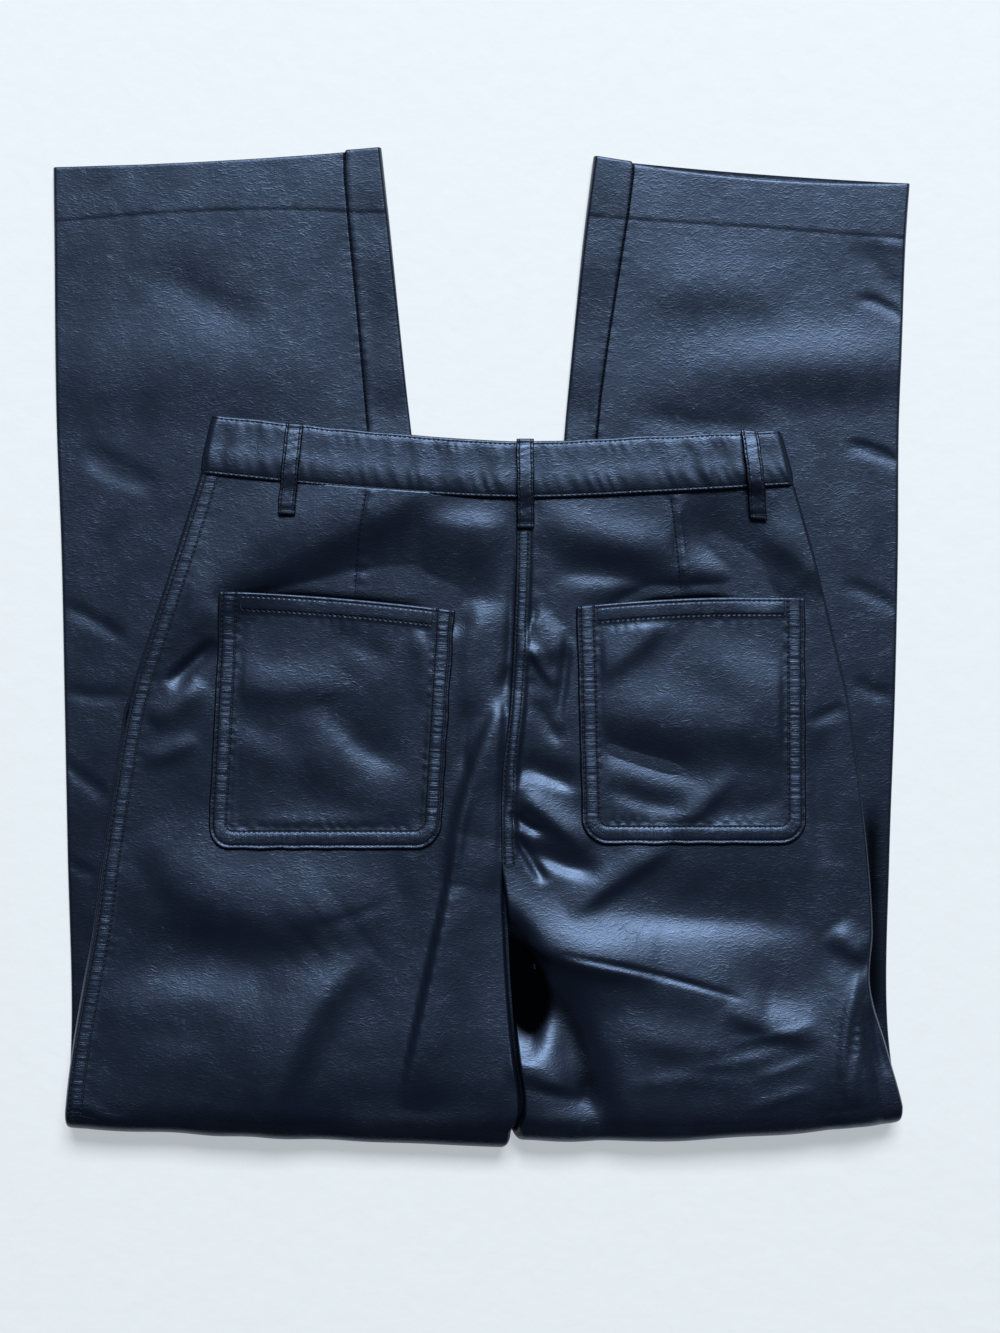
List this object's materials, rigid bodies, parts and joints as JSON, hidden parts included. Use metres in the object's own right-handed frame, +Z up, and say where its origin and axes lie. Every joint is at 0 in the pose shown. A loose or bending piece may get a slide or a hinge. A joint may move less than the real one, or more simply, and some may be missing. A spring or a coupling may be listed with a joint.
{
  "type": "faux leather utility trousers",
  "caption": "Faux leather utility trousers lying folded in half across the thighs, seat uppermost, with a waistband, belt loops, darts and patch back pockets.",
  "frame": {"origin": "middle of the underside of the bounding box, on the surface that the trousers lie on", "axes": "+X to the right of the seat as it lies, +Y from the fold across the thighs to the hems, +Z up through the folded layers"},
  "size_m": [0.5467, 0.6338, 0.0226],
  "materials": {
    "leather": "coated cloth with a soft sheen and a fine grain",
    "button": "satin"
  },
  "bodies": {
    "root": {"back_left": "leather", "back_right": "leather", "front_left": "leather", "front_right": "leather", "folded_layers": "leather", "waistband": "leather", "belt_loop_left": "leather", "belt_loop_centre": "leather", "belt_loop_right": "leather", "pocket_left": "leather", "pocket_right": "leather", "fly_placket": "leather", "waist_button": "button"}
  },
  "joints": []
}
